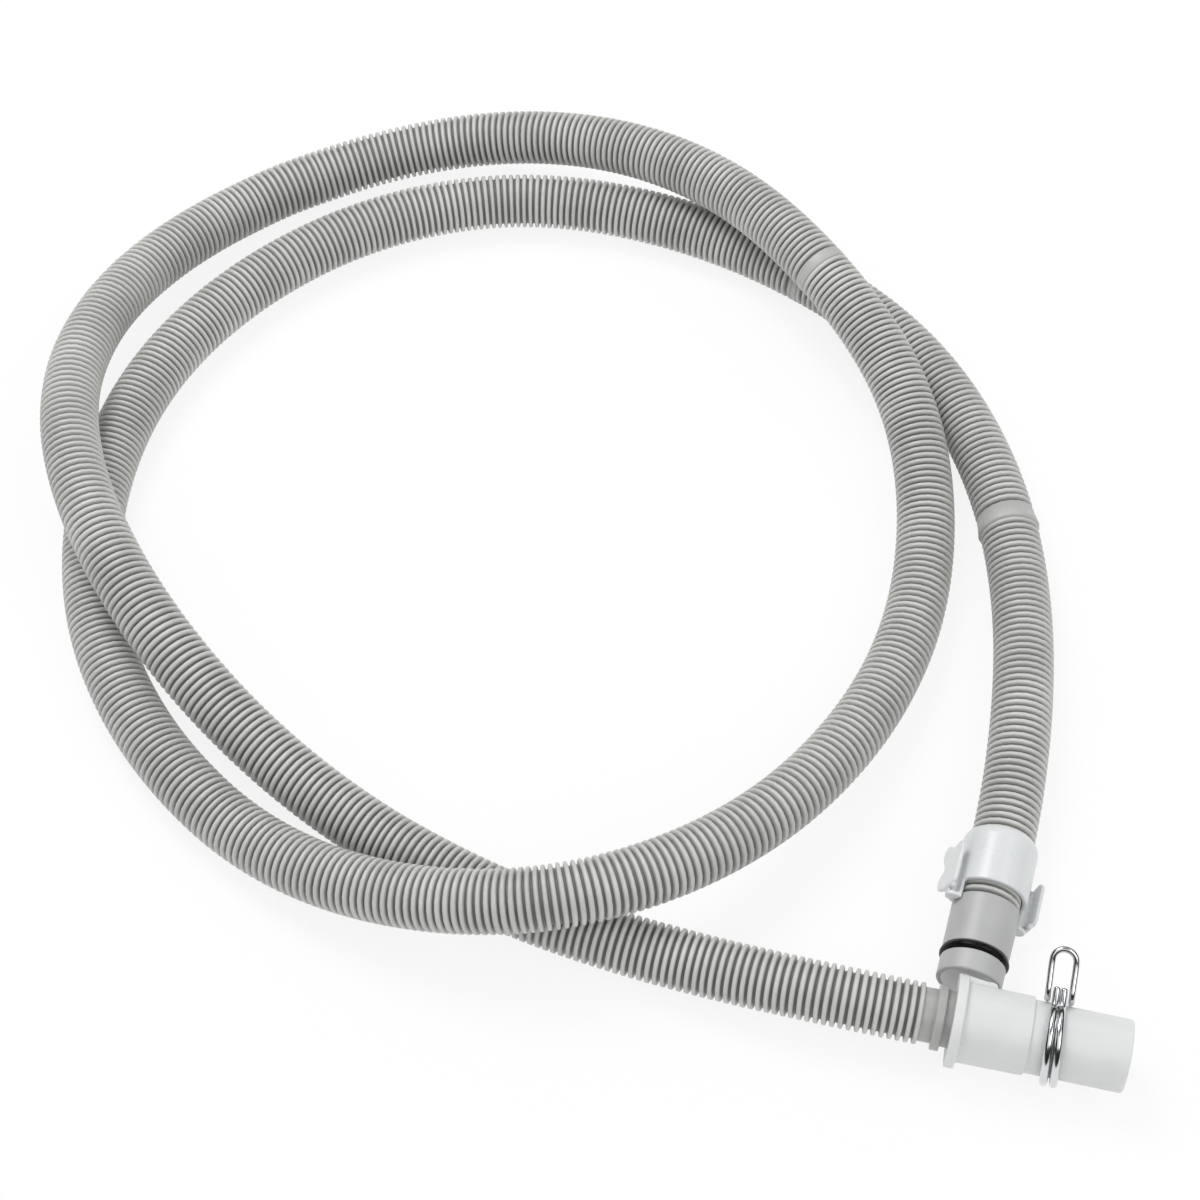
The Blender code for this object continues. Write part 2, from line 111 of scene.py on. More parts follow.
class Finish(Book):
    # one material: its nodes, and the Principled shader that they feed
    def __init__(self, name):
        self.material = bpy.data.materials.new(name)
        self.material.use_nodes = True
        self.material.node_tree.nodes.clear()
        super().__init__(self.material.node_tree, "ShaderNodeOutputMaterial")
        self.shader = self.tree.nodes.new("ShaderNodeBsdfPrincipled")
        self.show(Signal(self, self.shader.outputs[0]))

    def paint(self, inputs):
        self.fill(self.shader, inputs)
        return self.material

    def noise(self, scale, detail, roughness, stretch=None):
        place = self.add("ShaderNodeTexCoord", output="Object")
        if stretch:
            place = self.add("ShaderNodeMapping", {}, {"Vector": place, "Scale": Vector(stretch)})
        return self.add("ShaderNodeTexNoise", {}, {"Vector": place, "Scale": scale,
                                                   "Detail": detail, "Roughness": roughness})

    def mark(self, name):
        return self.add("ShaderNodeAttribute", {"attribute_name": name}, output="Fac")

    def blend(self, share, first, second):
        # inputs 6 and 7 and output 2 are the node's colours
        return self.add("ShaderNodeMix", {"data_type": "RGBA"}, {0: share, 6: first, 7: second},
                        output=2)

    def fit(self, value, low, high, lowTo=0.0, highTo=1.0):
        return self.add("ShaderNodeMapRange", {"clamp": True},
                        {0: value, 1: low, 2: high, 3: lowTo, 4: highTo})

    def bump(self, height, distance, strength):
        return self.add("ShaderNodeBump", {}, {"Height": height, "Distance": distance,
                                               "Strength": strength})


def addPiece(name, mesh, material, node):
    mesh.materials.clear()
    mesh.materials.append(material)
    mesh.polygons.foreach_set("use_smooth", [True] * len(mesh.polygons))
    mesh.update()
    made = bpy.data.objects.new(name, mesh)
    bpy.context.scene.collection.objects.link(made)
    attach(made, "root")
    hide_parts(node)
    print("stage:", name, sum(len(face.vertices) - 2 for face in mesh.polygons), "triangles")
    return made


# the two ends, as the CAD has them, in millimetres
layShift = (0.46, -0.03)
spigotEnd = {"heading": 17.0, "mouth": (160.8, -204.2), "height": 14.946, "length": 33.2}
adapterEnd = {"heading": 103.0, "flange": (152.8, -220.1), "height": 17.6}


def endFrame(point, height, heading):
    # +Z along the fitting and +Y up, the origin on its end face
    turn = math.radians(heading)
    along = Vector((math.sin(turn), math.cos(turn), 0.0))
    up = Vector((0.0, 0.0, 1.0))
    made = Matrix((up.cross(along), up, along)).transposed().to_4x4()
    made.translation = Vector((point[0] + layShift[0], point[1] + layShift[1], height)) * mm
    return made


spigotFrame = endFrame(spigotEnd["mouth"], spigotEnd["height"], spigotEnd["heading"])
adapterFrame = endFrame(adapterEnd["flange"], adapterEnd["height"], adapterEnd["heading"])


# the hose: its route on the floor, its ribs and its smooth bands, in millimetres
hose = {
    "radius": 12.5,
    "endShare": 0.94,           # a little slimmer where it meets the tail cuff
    "slimLength": 350.0,
    "evenEnd": 20.0,            # length over which the last ribs share what is left
    "leastRib": 0.3,
    "grooveDepth": 1.95,
    "crest": 1.58,              # width of a rib's crest, whatever the pitch
    "floor": 0.58,              # share of a groove that is flat at its bottom
    "shoulder": 0.24,           # depth at a crest's edges, as a share of the groove's
    "crown": 0.02,              # the same on top of a crest
    "rounded": 0.15,            # share of a crest that rounds down to each edge
    "bandLift": 0.9,
    "sides": 20,
    "seat": 0.3,                # air between the spigot and the hose
    "straightStart": 37.9,      # straight up to this far past the spigot's end
    "straightEnd": 45.6,        # straight again from this far before the adapter's flange
    "end": 11.6,                # the hose ends this far before the flange
    "leastHeight": 0.1,
    "routePoints": 240,
    "pitch": [(0, 3.08), (120, 3.14), (240, 3.10), (600, 3.11), (720, 3.0), (840, 3.07),
              (960, 3.2), (1020, 3.2), (1080, 2.9), (1140, 3.12), (1200, 3.5), (1260, 3.38),
              (1320, 3.25), (1380, 3.1), (1440, 2.88), (1500, 2.83), (1560, 3.02), (1740, 3.12),
              (1860, 3.2), (1980, 3.28), (2040, 3.2), (2100, 3.12),
              (2460, 3.10)],    # way along the hose, rib pitch
    "bands": [                  # smooth bands between the ribs: start, then (step on, radius)
        (184.6, [(0.12, 11.0), (0.3, 12.6), (0.7, 13.2), (1.5, 13.25), (3.0, 12.95),
                 (5.3, 12.72), (5.6, 12.45), (8.6, 12.42), (9.1, 11.6)]),
        (355.0, [(0.12, 11.2), (0.4, 12.3), (1.0, 12.45), (2.6, 12.45), (2.9, 12.1),
                 (3.2, 12.1), (3.5, 12.45), (5.2, 12.4), (5.8, 11.2)]),
        (1505.0, [(0.12, 11.2), (0.4, 12.3), (0.9, 12.5), (4.8, 12.5), (5.3, 12.3),
                  (5.7, 11.2)]),
    ],
    "crestDeep": (0.50, 0.507, 0.487),
    "crestPale": (0.63, 0.635, 0.61),
    "crestStreak": (0.44, 0.45, 0.42),
    # the groove colour is painted shade, darker than the crests
    "paintedGrooveShade": (0.19, 0.192, 0.183),
    "bandShade": (0.46, 0.468, 0.455),
    "speck": (0.30, 0.30, 0.28),
}
freeRoute = [
    (193.5, -80, 15.0), (198.5, -13, 12.5), (188.5, 54, 12.5), (159.5, 114, 12.5),
    (111.5, 160, 12.5), (52.5, 191, 12.5), (-13.5, 204, 12.5), (-78.5, 191, 12.5),
    (-134.5, 155, 12.5), (-175.5, 102, 12.5), (-194.5, 38, 12.5), (-190.5, -29, 12.5),
    (-163.5, -90, 12.5), (-118.5, -139, 13.5), (-61.5, -171, 26.0), (3.5, -180, 39.0),
    (64.5, -156, 33.5), (112.5, -111, 21.5), (146.5, -53, 13.5), (161.5, 12, 14.0),
    (154.5, 77, 25.0), (122.5, 135, 37.5), (80.5, 186, 38.5), (24.5, 223, 31.0),
    (-39.5, 236, 20.5), (-104.5, 223, 13.0), (-160.5, 187, 14.0), (-197.5, 132, 24.0),
    (-208.5, 68, 35.0), (-192.5, 3, 39.0), (-159.5, -54, 33.0), (-114.5, -102, 19.5),
    (-61.5, -142, 12.5), (-1.5, -174, 12.5), (61.5, -196, 13.5),
]


def smoothRun(points, perSpan):
    # the natural cubic spline through the points
    steps = np.linalg.norm(np.diff(points, axis=0), axis=1)
    total = len(points)
    system = np.eye(total)
    right = np.zeros((total, 3))
    for i in range(1, total - 1):
        system[i, i - 1:i + 2] = steps[i - 1], 2 * (steps[i - 1] + steps[i]), steps[i]
        right[i] = 6 * ((points[i + 1] - points[i]) / steps[i]
                        - (points[i] - points[i - 1]) / steps[i - 1])
    bend = np.linalg.solve(system, right)
    dense = []
    for i in range(total - 1):
        for t in np.linspace(0.0, 1.0, perSpan, endpoint=False):
            s = 1.0 - t
            lift = ((s ** 3 - s) * bend[i] + (t ** 3 - t) * bend[i + 1]) * steps[i] ** 2 / 6
            dense.append(s * points[i] + t * points[i + 1] + lift)
    return np.array(dense + [points[-1]])


def wayAlong(points):
    return np.concatenate([[0.0], np.cumsum(np.linalg.norm(np.diff(points, axis=0), axis=1))])


def hoseRoute():
    spigotFace = spigotEnd["length"]
    points = [spigotFrame @ Vector((0, 0, (spigotFace + hose["seat"]) * mm)),
              spigotFrame @ Vector((0, 0, (spigotFace + hose["straightStart"]) * mm))]
    points += [(Vector(point) + Vector((*layShift, 0.0))) * mm for point in freeRoute]
    points += [adapterFrame @ Vector((0, 0, -hose["straightEnd"] * mm)),
               adapterFrame @ Vector((0, 0, -hose["end"] * mm))]
    dense = smoothRun(np.array([tuple(point) for point in points]), 20)
    dense[:, 2] = np.maximum(dense[:, 2], hose["radius"] * mm)
    return dense


def hoseRings(length):
    # (way along, radius, lift, band) of each ring: lift is 1 on a crest and 0 in a groove
    rings = []
    bands = list(hose["bands"])
    pitchPlaces, pitches = zip(*hose["pitch"])
    crest = hose["crest"]
    here = 0.0
    while here < length - hose["leastRib"]:
        pitch = float(np.interp(here, pitchPlaces, pitches))
        if length - here < hose["evenEnd"]:
            pitch = (length - here) / max(round((length - here) / pitch), 1)
        nearEnd = max(1.0 - (length - here) / hose["slimLength"], 0.0)
        radius = hose["radius"] * (1.0 - (1.0 - hose["endShare"]) * nearEnd)
        if bands and here + pitch > bands[0][0]:
            start, outline = bands.pop(0)
            rings += [(here + step, wide, hose["bandLift"], 1.0) for step, wide in outline]
            here += outline[-1][0]
        groove = pitch - crest
        flat = hose["floor"] * groove / 2
        edge = hose["rounded"] * crest
        steps = [(groove / 2 - flat, 1.0), (groove / 2 + flat, 1.0), (groove, hose["shoulder"]),
                 (groove + edge, hose["crown"]), (pitch - edge, hose["crown"]),
                 (pitch, hose["shoulder"])]
        for step, depth in steps:
            rings.append((here + step, radius - depth * hose["grooveDepth"], 1.0 - depth, 0.0))
        here += pitch
    return rings


def tubeMesh(name, centres, radii, sides, lowest=None):
    # rings of points round a line, closed at both ends
    slope = np.gradient(centres, wayAlong(centres), axis=0)
    slope /= np.linalg.norm(slope, axis=1)[:, None]
    across = np.cross((0.02, 0.01, 1.0), slope)
    for i in range(1, len(across)):     # each ring follows from the one before, with no twist
        across[i] = across[i - 1] - slope[i] * (across[i - 1] @ slope[i])
        across[i] /= np.linalg.norm(across[i])
    across[0] /= np.linalg.norm(across[0])
    upward = np.cross(slope, across)
    turns = np.linspace(0.0, 2 * math.pi, sides, endpoint=False)
    rings = (np.cos(turns)[None, :, None] * across[:, None, :]
             + np.sin(turns)[None, :, None] * upward[:, None, :])
    points = (centres[:, None, :] + radii[:, None, None] * rings).reshape(-1, 3)
    points = np.concatenate([points, centres[:1], centres[-1:]])
    if lowest is not None:
        points[:, 2] = np.maximum(points[:, 2], lowest)
    faces = []
    count = len(centres)
    for i in range(count - 1):
        for j in range(sides):
            k = (j + 1) % sides
            faces.append((i * sides + j, i * sides + k, (i + 1) * sides + k, (i + 1) * sides + j))
    for j in range(sides):
        k = (j + 1) % sides
        faces.append((count * sides, k, j))
        faces.append((count * sides + 1, (count - 1) * sides + j, (count - 1) * sides + k))
    mesh = bpy.data.meshes.new(name)
    mesh.from_pydata([tuple(point) for point in points], [], faces)
    return mesh


def hoseGrey():
    look = Finish("hoseGrey")
    lift = look.mark("ribLift")
    band = look.mark("smoothBand")
    cloud = look.noise(30.0, 4.0, 0.6)
    speck = look.noise(1100.0, 2.0, 0.6)
    streak = look.noise(90.0, 3.0, 0.6, (1.0, 1.0, 0.35))
    crest = look.blend(look.fit(cloud, 0.35, 0.68), hose["crestDeep"], hose["crestPale"])
    crest = look.blend(look.fit(streak, 0.45, 0.75, 0.0, 0.35), crest, hose["crestStreak"])
    # painted shade: a darker colour in the grooves between the ribs, following the ribs' lift
    shade = look.blend(look.fit(lift, 0.1, 0.8), hose["paintedGrooveShade"], crest)
    shade = look.blend(band, shade, hose["bandShade"])
    base = look.blend(look.fit(speck, 0.55, 0.8, 0.0, 0.12), shade, hose["speck"])
    grain = look.bump(look.noise(2400.0, 3.0, 0.6), 0.00006, 0.35)
    return look.paint({"Base Color": base, "Roughness": look.fit(cloud, 0.3, 0.7, 0.36, 0.48),
                       "Normal": grain})


def makeHose():
    dense = hoseRoute()
    travelled = wayAlong(dense)
    length = float(travelled[-1])
    rings = np.array(hoseRings(length / mm))
    centres = np.column_stack([np.interp(rings[:, 0] * mm, travelled, dense[:, k])
                               for k in range(3)])
    mesh = tubeMesh("hoseRibs", centres, rings[:, 1] * mm, hose["sides"],
                    hose["leastHeight"] * mm)
    for name, column in (("ribLift", 2), ("smoothBand", 3)):
        values = np.concatenate([np.repeat(rings[:, column], hose["sides"]), [0.0, 0.0]])
        marks = mesh.attributes.new(name, "FLOAT", "POINT")
        marks.data.foreach_set("value", values.astype(np.float32))
    made = addPiece("hoseRibs", mesh, hoseGrey(), "drain_hose")
    path = dense[np.linspace(0, len(dense) - 1, hose["routePoints"]).astype(int)]
    return made, path, length


plastic = {"speckShade": 0.7, "speckShare": 0.10, "grainStrength": 0.4, "roughSpread": 0.08,
           "coatRoughness": 0.2, "milkDepth": 0.004, "milkReach": (1.0, 0.97, 0.94)}


def plasticLook(name, piece):
    look = Finish(name)
    pale, deep, rough = piece["pale"], piece["deep"], piece["rough"]
    cloud = look.noise(60.0, 3.0, 0.55)
    speck = look.noise(700.0, 2.0, 0.5)
    base = look.blend(look.fit(cloud, 0.3, 0.7), deep, pale)
    base = look.blend(look.fit(speck, 0.62, 0.80, 0.0, plastic["speckShare"]), base,
                      tuple(plastic["speckShade"] * value for value in deep))
    grain = look.bump(look.noise(1600.0, 3.0, 0.55), piece["grain"], plastic["grainStrength"])
    roughness = look.fit(cloud, 0.3, 0.7, rough, rough + plastic["roughSpread"])
    inputs = {"Base Color": base, "Roughness": roughness, "Normal": grain,
              "Coat Weight": piece["coat"], "Coat Roughness": plastic["coatRoughness"],
              "Subsurface Weight": piece["milky"], "Subsurface Scale": plastic["milkDepth"],
              "Subsurface Radius": Vector(plastic["milkReach"])}
    # painted light: a glow on the inside of the spigot's mouth, strongest at the mouth
    if "paintedInsideLight" in piece:
        inputs["Emission Strength"] = 1.0
        inputs["Emission Color"] = look.blend(look.mark("paintedLightShare"), (0.0, 0.0, 0.0),
                                              piece["paintedInsideLight"])
    return look.paint(inputs)


# turned pieces: each outline point is (radius, place along the axis, rounding of that corner)
corner = {"mostShare": 0.45, "least": 0.02, "steps": 5, "support": 0.3, "supportShare": 0.04}


def roundOutline(points):
    # a support point on each side of a rounding keeps the flats flat in smooth shading
    made = []
    total = len(points)
    for i, (radius, along, soften) in enumerate(points):
        here = Vector((radius, along))
        before = Vector(points[i - 1][:2]) - here
        after = Vector(points[(i + 1) % total][:2]) - here
        reach = min(soften, before.length * corner["mostShare"], after.length * corner["mostShare"])
        if reach < corner["least"]:
            made.append(tuple(here))
            continue
        first = here + before.normalized() * reach
        last = here + after.normalized() * reach
        support, share = corner["support"], corner["supportShare"]
        made.append(tuple(first + before.normalized() * min(support, before.length * share)))
        for t in np.linspace(0.0, 1.0, corner["steps"]):
            made.append(tuple(first * (1 - t) ** 2 + here * 2 * t * (1 - t) + last * t ** 2))
        made.append(tuple(last + after.normalized() * min(support, after.length * share)))
    return made


def turnedShell(outline, around=120):
    rim = roundOutline(outline)
    total = len(rim)
    points, faces = [], []
    for i, turn in enumerate(np.linspace(0.0, 2 * math.pi, around, endpoint=False)):
        points += [(r * math.cos(turn), r * math.sin(turn), a) for r, a in rim]
        k = (i + 1) % around
        faces += [(i * total + j, k * total + j, k * total + (j + 1) % total,
                   i * total + (j + 1) % total) for j in range(total)]
    return points, faces


def tidyMesh(mesh, weld=1e-5, sharpest=40.0):
    # faces turned outwards, and hard edges where two faces meet steeply
    shape = bmesh.new()
    shape.from_mesh(mesh)
    bmesh.ops.remove_doubles(shape, verts=shape.verts, dist=weld)
    bmesh.ops.recalc_face_normals(shape, faces=shape.faces)
    for edge in shape.edges:
        edge.smooth = edge.calc_face_angle(0.0) < math.radians(sharpest)
    shape.to_mesh(mesh)
    shape.free()
    return mesh


def shellMesh(name, shells):
    points, faces = [], []
    for shellPoints, shellFaces in shells:
        faces += [tuple(index + len(points) for index in face) for face in shellFaces]
        points += [tuple(point) for point in shellPoints]
    mesh = bpy.data.meshes.new(name)
    mesh.from_pydata(points, [], faces)
    return tidyMesh(mesh)


def turnedMesh(name, outline, place):
    mesh = shellMesh(name, [turnedShell(outline)])
    mesh.transform(place @ Matrix.Scale(mm, 4))
    return mesh


# the spigot that plugs into the pump, and its seal, in millimetres from the spigot's mouth
# the spigot's glow colour and its start and end depth are painted light inside the mouth
spigot = {"radius": 13.2, "draft": 0.3, "barrelStart": 12.2, "nose": 12.6, "noseLength": 8.6,
          "groove": 10.2, "mouth": 10.6, "mouthDepth": 6.4, "bore": 9.0, "glowStart": 0.3,
          "glowEnd": 24.0, "paintedInsideLight": (0.22, 0.22, 0.22), "pale": (0.46, 0.468, 0.462),
          "deep": (0.42, 0.428, 0.423), "rough": 0.34, "coat": 0.0, "milky": 0.0,
          "grain": 0.00004}
seal = {"radius": 12.0, "place": 10.4, "section": 1.5, "steps": 28,
        "deep": (0.003, 0.003, 0.0035), "pale": (0.008, 0.008, 0.009)}


def markPaintedLight(mesh):
    # painted light: the mouth's inside is given a glow, less with depth, standing in for light
    # inside the bore
    back = spigotFrame.inverted()
    widest = (spigot["mouth"] + 0.1) * mm
    shares = []
    for vertex in mesh.vertices:
        place = back @ vertex.co
        within = math.hypot(place.x, place.y) < widest and place.z > spigot["glowStart"] * mm
        shares.append(max(1.0 - place.z / (spigot["glowEnd"] * mm), 0.0) if within else 0.0)
    mesh.attributes.new("paintedLightShare", "FLOAT", "POINT").data.foreach_set("value", shares)


def makeSpigot():
    size = spigot
    length = spigotEnd["length"]
    boreStart = size["mouthDepth"] + size["mouth"] - size["bore"]
    outline = [(size["bore"], length, 0.3), (size["radius"], length, 0.7),
               (size["radius"] - size["draft"], size["barrelStart"], 0.35),
               (size["groove"], size["barrelStart"], 0.1),
               (size["groove"], size["noseLength"], 0.1),
               (size["nose"], size["noseLength"], 0.35), (size["nose"], 0.0, 1.1),
               (size["mouth"], 0.0, 0.6), (size["mouth"], size["mouthDepth"], 0.3),
               (size["bore"], boreStart, 0.3)]
    mesh = turnedMesh("spigotBody", outline, spigotFrame)
    markPaintedLight(mesh)
    look = plasticLook("spigotGrey", size)
    return addPiece("spigotBody", mesh, look, "pump_spigot")


def sealLook():
    look = Finish("sealRubber")
    cloud = look.noise(240.0, 3.0, 0.6)
    base = look.blend(look.fit(cloud, 0.35, 0.7), seal["deep"], seal["pale"])
    grain = look.bump(look.noise(2600.0, 2.0, 0.5), 0.00003, 0.3)
    return look.paint({"Base Color": base, "Roughness": look.fit(cloud, 0.3, 0.7, 0.24, 0.36),
                       "Normal": grain, "Specular IOR Level": 0.16})


def makeSeal():
    section = seal["section"]
    outline = [(seal["radius"] + section * math.cos(turn), seal["place"] + section * math.sin(turn),
                0.0) for turn in np.linspace(0.0, 2 * math.pi, seal["steps"], endpoint=False)]
    mesh = turnedMesh("sealRing", outline, spigotFrame)
    return addPiece("sealRing", mesh, sealLook(), "o_ring")


# the locking clip: a ring round the hose, two legs over the spigot, a squeeze lever on each
clip = {"roll": 28.0, "bore": 12.8, "radius": 14.9, "legBore": 13.5, "ringLength": 25.0,
        "window": 4.9, "legWidth": 7.0, "legLap": 3.0, "taper": 3.4, "reach": 19.8,
        "padThickness": 1.5, "padSink": 0.2, "webStart": 1.4, "webEnd": 16.3, "webRise": 1.4,
        "webFoot": 0.4, "legSink": 1.0, "footGap": 0.05, "web": 1.8, "footHeight": 3.6,
        "footThickness": 1.9, "footRound": 2.9, "nub": 1.15, "nubSink": 0.2, "nubAcross": 3.6,
        "nubAlong": 0.2, "cell": 0.36, "smoothing": 5,
        "trueReach": 0.09, "trueStart": 0.8, "trueEnd": 0.4,
        "pale": (0.715, 0.733, 0.738), "deep": (0.685, 0.705, 0.71), "rough": 0.26, "coat": 0.2,
        "milky": 0.3, "grain": 0.00002}


def slab(outline, low, high, order):
    # a closed prism: order says which axis each outline direction and the height run along
    points = []
    for height in (low, high):
        for first, second in outline:
            point = [0.0, 0.0, 0.0]
            point[order[0]], point[order[1]], point[order[2]] = first, second, height
            points.append(point)
    total = len(outline)
    faces = [tuple(range(total)), tuple(reversed(range(total, 2 * total)))]
    faces += [(i, (i + 1) % total, (i + 1) % total + total, i + total) for i in range(total)]
    return points, faces


def ballShell(centre, radius, steps=12):
    shape = bmesh.new()
    bmesh.ops.create_uvsphere(shape, u_segments=2 * steps, v_segments=steps, radius=radius)
    points = [tuple(vert.co + Vector(centre)) for vert in shape.verts]
    faces = [tuple(vert.index for vert in face.verts) for face in shape.faces]
    shape.free()
    return points, faces


def padOutline():
    # (across, along) of a squeeze pad: two lobes at its far end, and a waist on its lower side
    return [(4.6, 0.4), (5.8, 1.2), (6.3, 2.8), (6.3, 6.0), (6.2, 10.0), (6.3, 14.0), (6.3, 16.4),
            (5.8, 18.3), (4.6, 19.3), (3.0, 19.3), (1.5, 18.3), (0.0, 17.4), (-1.5, 18.2),
            (-3.1, 19.2), (-4.9, 19.0), (-6.1, 17.5), (-6.4, 15.3), (-5.9, 12.7), (-4.5, 10.3),
            (-3.7, 8.3), (-4.2, 6.7), (-5.6, 5.3), (-6.4, 3.6), (-6.4, 1.6), (-5.4, -0.3),
            (-3.4, -1.3), (-1.0, -1.3), (2.0, -0.4)]


def footOutline(root):
    # a tongue that sticks out from the leg, round at its outer end
    bend = clip["footRound"]
    tip = clip["radius"] + clip["footHeight"]
    return [(root, -bend), (root, bend)] + [
        (tip - bend * (1 - math.sin(turn)), bend * math.cos(turn))
        for turn in np.linspace(0.0, math.pi, 11)]


def legOutline():
    # the leg's section, an arc of the ring's wall
    half = math.asin(clip["legWidth"] / 2 / clip["radius"])
    turns = np.linspace(-half, half, 9)
    outer = [(clip["radius"] * math.cos(turn), clip["radius"] * math.sin(turn)) for turn in turns]
    return outer + [(clip["legBore"] * math.cos(turn), clip["legBore"] * math.sin(turn))
                    for turn in reversed(turns)]


def leverShells():
    size = clip
    root = (size["legBore"] + size["radius"]) / 2
    inside = size["reach"] - size["padThickness"]
    sunk = inside + size["padSink"] * size["padThickness"]
    low = -size["legLap"]
    footTop = low + size["footThickness"]
    web = [(root, footTop), (root + size["webFoot"] * size["footHeight"], footTop),
           (sunk, size["webStart"]), (sunk, size["webEnd"]),
           (root, size["webEnd"] - size["webRise"] * (inside - root))]
    return [slab(web, -size["web"] / 2, size["web"] / 2, (0, 2, 1)),
            slab(padOutline(), inside, size["reach"], (1, 2, 0)),
            slab(footOutline(root), low + size["footGap"], footTop, (0, 1, 2)),
            slab(legOutline(), low, size["window"] + size["legSink"], (0, 1, 2)),
            ballShell((inside - size["nubSink"], size["nubAcross"], size["nubAlong"]),
                      size["nub"])]


def moulded(name, shells, cell, smoothing):
    # the shells made into one skin, in millimetres, with softened edges
    mesh = shellMesh(name, shells)
    carrier = bpy.data.objects.new(name, mesh)
    bpy.context.scene.collection.objects.link(carrier)
    remesh = carrier.modifiers.new("oneSkin", "REMESH")
    remesh.mode = "VOXEL"
    remesh.voxel_size = cell
    soften = carrier.modifiers.new("softEdges", "SMOOTH")
    soften.factor = 0.5
    soften.iterations = smoothing
    bpy.context.view_layer.update()
    finished = carrier.evaluated_get(bpy.context.evaluated_depsgraph_get())
    made = bpy.data.meshes.new_from_object(finished)
    bpy.data.objects.remove(carrier, do_unlink=True)
    return made


def trueRing(mesh, start, end):
    # the ring's two round faces, which the skin leaves slightly uneven, made exactly round
    spots = np.empty(len(mesh.vertices) * 3)
    mesh.vertices.foreach_get("co", spots)
    spots = spots.reshape(-1, 3)
    reach = np.hypot(spots[:, 0], spots[:, 1])
    onRing = (spots[:, 2] > start) & (spots[:, 2] < end)
    for exact in (clip["bore"], clip["radius"]):
        near = onRing & (np.abs(reach - exact) < clip["trueReach"])
        spots[near, :2] *= (exact / reach[near])[:, None]
    mesh.vertices.foreach_set("co", spots.ravel())


def makeClip():
    size = clip
    start, end = size["window"], size["window"] + size["ringLength"]
    wall = size["radius"] - size["bore"]
    ring = [(size["bore"], end, 0.1), (size["bore"] + 0.35 * wall, end, 0.3),
            (size["radius"] - 0.22 * wall, end - 0.4 * size["taper"], 0.9),
            (size["radius"], end - size["taper"], 1.0), (size["radius"], start, 0.4),
            (size["bore"], start, 0.3)]
    shells = [turnedShell(ring)]
    for points, faces in leverShells():
        shells += [(points, faces), ([(-x, y, z) for x, y, z in points], faces)]
    mesh = moulded("clipBody", shells, size["cell"], size["smoothing"])
    trueRing(mesh, start + size["trueStart"], end - size["taper"] - size["trueEnd"])
    shift = Matrix.Translation((0, 0, spigotEnd["length"] * mm))
    roll = Matrix.Rotation(math.radians(size["roll"]), 4, "Z")
    mesh.transform(spigotFrame @ shift @ roll @ Matrix.Scale(mm, 4))
    return addPiece("clipBody", mesh, plasticLook("clipWhite", size), "locking_clip")


# the cuff on the hose's end and the sink adapter, in millimetres from the adapter's flange
cuff = {"neck": 10.6, "neckShown": 3.0, "seated": 14.0, "collar": 12.5, "collarThickness": 3.3,
        "sleeve": 10.2, "sleeveLength": 5.17, "bore": 8.5, "pale": (0.44, 0.445, 0.43),
        "deep": (0.385, 0.39, 0.38), "rough": 0.30, "coat": 0.0, "milky": 0.0, "grain": 0.00004}
adapter = {"flange": 17.6, "flangeThickness": 3.7, "body": 15.1, "draft": 0.35, "bodyEnd": 28.8,
           "tail": 13.7, "length": 65.6, "bore": 10.9, "boreDepth": 15.0, "tailBore": 11.2,
           "stepRun": 0.2, "boreTaper": 0.6, "lugTurn": 27.0, "lugLength": 11.6, "lugWidth": 6.5,
           "lugRise": 1.5, "lugSink": 1.0, "lugLap": 0.6, "lugCell": 0.22, "lugSmoothing": 6,
           "pale": (0.715, 0.725, 0.727), "deep": (0.685, 0.698, 0.70),
           "rough": 0.36, "coat": 0.0, "milky": 0.3, "grain": 0.00003}


def makeCuff():
    size = cuff
    collarStart = -size["neckShown"] - size["collarThickness"]
    start = collarStart - size["sleeveLength"]
    outline = [(size["bore"], size["seated"], 0.3), (size["neck"], size["seated"], 0.5),
               (size["neck"], -size["neckShown"], 0.25), (size["collar"], -size["neckShown"], 0.5),
               (size["collar"], collarStart, 0.5), (size["sleeve"], collarStart, 0.3),
               (size["sleeve"], start, 0.3), (size["bore"], start, 0.3)]
    mesh = turnedMesh("cuffBody", outline, adapterFrame)
    return addPiece("cuffBody", mesh, plasticLook("cuffGrey", size), "tail_cuff")


def lugShell():
    # a rib that falls from the flange's rim and ends in a round lobe
    size = adapter
    start = size["flangeThickness"] - size["lugLap"]
    lobe = size["body"] + size["lugRise"]
    inside = size["body"] - size["lugSink"]
    far = size["lugLength"]
    outline = [(inside, start), (size["flange"] - 0.3, start), (size["flange"] - 0.4, start + 1.0),
               (lobe - 0.1, start + 0.62 * far), (lobe - 0.2, start + 0.70 * far),
               (lobe, start + 0.76 * far), (lobe, start + 0.86 * far),
               (lobe - 0.5, start + 0.95 * far), (size["body"], start + far),
               (inside, start + far)]
    points, faces = slab(outline, -size["lugWidth"] / 2, size["lugWidth"] / 2, (0, 2, 1))
    turn = Matrix.Rotation(math.radians(size["lugTurn"]), 3, "Z")
    return [tuple(turn @ Vector(point)) for point in points], faces


